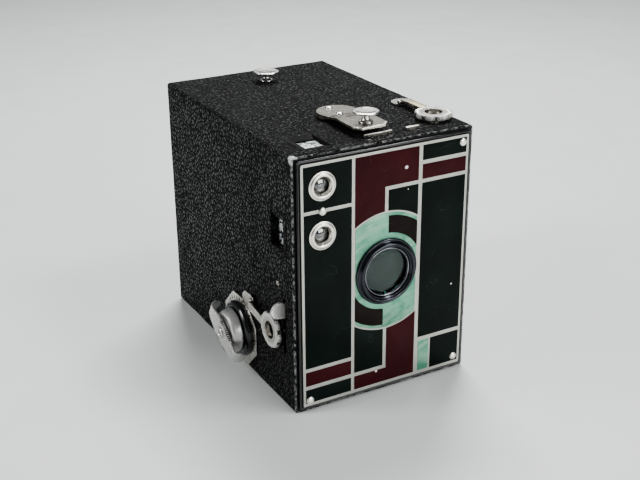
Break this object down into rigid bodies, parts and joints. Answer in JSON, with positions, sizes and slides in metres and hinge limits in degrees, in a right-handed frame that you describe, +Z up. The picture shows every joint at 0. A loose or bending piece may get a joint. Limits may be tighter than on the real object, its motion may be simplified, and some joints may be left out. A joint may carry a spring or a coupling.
{
  "type": "box camera",
  "caption": "Black leatherette box camera for roll film: front section that slides off, enamelled face, winding key, ring catches, reflecting finders and working shutter.",
  "frame": {"origin": "middle of the flat base, under the middle of the case (leather to leather, face to back)", "axes": "+Z up; the lens looks along -Y and the ruby window is on +Y; the winding key is on -X"},
  "size_m": [0.0916, 0.1257, 0.1164],
  "materials": {
    "leatherette": "black pebbled leatherette, worn at the edges",
    "black_steel": "satin black paint on sheet steel",
    "black_gloss": "glossy black paint",
    "nickel": "satin nickel plate, worn and pitted",
    "steel": "plain machined steel",
    "enamel": "black and maroon enamel panels between satin silver lines",
    "glass": "clear polished glass",
    "mirror": "polished mirror",
    "ruby": "dark red window",
    "wood": "dark turned wood"
  },
  "bodies": {
    "rear_case": {"rear_shell": "black_steel", "rear_leatherette": "leatherette", "ruby_window": "ruby", "ruby_window_ring": "nickel", "light_cone": "black_steel", "holder_plate_left": "black_steel", "holder_plate_right": "black_steel", "takeup_pin": "steel", "supply_pin_left": "steel", "supply_pin_right": "steel", "key_escutcheon": "nickel", "key_boss": "black_gloss", "rear_strap_stud": "nickel", "strap_plate": "nickel", "front_strap_stud": "nickel", "top_catch_base": "nickel", "side_catch_base": "nickel"},
    "front_section": {"front_shell": "black_steel", "front_leatherette": "leatherette", "light_trap_sleeve": "black_steel", "front_board": "black_steel", "face_rim": "black_gloss", "face_plate": "enamel", "face_rivet_upper_left": "nickel", "face_rivet_upper_right": "nickel", "face_rivet_lower_left": "nickel", "face_rivet_lower_right": "nickel", "lens_ring": "black_gloss", "lens_retainer": "steel", "front_lens": "glass", "rear_lens": "glass", "rear_lens_bridge": "steel", "finder_eyelet_upper": "nickel", "finder_eyelet_lower": "nickel", "finder_lens_upper": "glass", "finder_lens_lower": "glass", "finder_mirror_upper": "mirror", "finder_mirror_lower": "mirror", "finder_glass_top": "glass", "finder_glass_side": "glass", "finder_hood_top": "black_steel", "finder_hood_side": "black_steel", "shutter_plate": "steel", "top_catch_stud": "nickel", "side_catch_stud": "nickel", "tripod_bush_base": "steel", "tripod_bush_side": "steel"},
    "key_hub": {"key_cup": "nickel"},
    "winding_key": {"key_wing": "nickel", "key_rivet": "nickel", "key_shaft": "steel"},
    "spool": {"takeup_spool": "wood"},
    "top_roller": {"film_roller_top": "nickel"},
    "bottom_roller": {"film_roller_bottom": "nickel"},
    "top_catch": {"top_catch_ring": "nickel"},
    "side_catch": {"side_catch_ring": "nickel"},
    "lever": {"shutter_lever": "nickel"},
    "disc": {"shutter_disc": "black_steel"},
    "aperture": {"aperture_strip": "nickel"},
    "time": {"time_strip": "nickel"}
  },
  "joints": [
    {"name": "front_slide", "type": "slide", "parent": "rear_case", "child": "front_section", "axis": [0, -1, 0], "range_m": [0, 0.06]},
    {"name": "key_turn", "type": "hinge", "parent": "rear_case", "child": "key_hub", "pos_m": [-0.0405, -0.0105, 0.0166], "axis": [-1, 0, 0], "continuous": true},
    {"name": "key_pull", "type": "slide", "parent": "key_hub", "child": "winding_key", "axis": [-1, 0, 0], "range_m": [0, 0.008]},
    {"name": "spool_turn", "type": "hinge", "parent": "rear_case", "child": "spool", "pos_m": [0, -0.0105, 0.0166], "axis": [-1, 0, 0], "continuous": true},
    {"name": "roller_top_turn", "type": "hinge", "parent": "rear_case", "child": "top_roller", "pos_m": [0, 0.0535, 0.1022], "axis": [1, 0, 0], "continuous": true},
    {"name": "roller_bottom_turn", "type": "hinge", "parent": "rear_case", "child": "bottom_roller", "pos_m": [0, 0.0535, 0.0058], "axis": [1, 0, 0], "continuous": true},
    {"name": "top_catch_lift", "type": "hinge", "parent": "rear_case", "child": "top_catch", "pos_m": [0.032, -0.0229, 0.1095], "axis": [-1, 0, 0], "range_deg": [0, 40]},
    {"name": "side_catch_lift", "type": "hinge", "parent": "rear_case", "child": "side_catch", "pos_m": [-0.042, -0.0239, 0.0339], "axis": [0, 0.1444, -0.9895], "range_deg": [0, 40]},
    {"name": "shutter_lever_turn", "type": "hinge", "parent": "front_section", "child": "lever", "pos_m": [-0.022, -0.0513, 0.0355], "axis": [0, -1, 0], "range_deg": [0, 39]},
    {"name": "shutter_disc_turn", "type": "hinge", "parent": "front_section", "child": "disc", "pos_m": [0, -0.0567, 0.0344], "axis": [0, -1, 0], "range_deg": [0, 78]},
    {"name": "aperture_pull", "type": "slide", "parent": "front_section", "child": "aperture", "axis": [0, 0, 1], "range_m": [0, 0.014]},
    {"name": "time_pull", "type": "slide", "parent": "front_section", "child": "time", "axis": [0, 0, 1], "range_m": [0, 0.005]}
  ],
  "couplings": [
    {"joint": "spool_turn", "follows": "key_turn", "ratio": 1},
    {"joint": "shutter_disc_turn", "follows": "shutter_lever_turn", "ratio": 2}
  ]
}
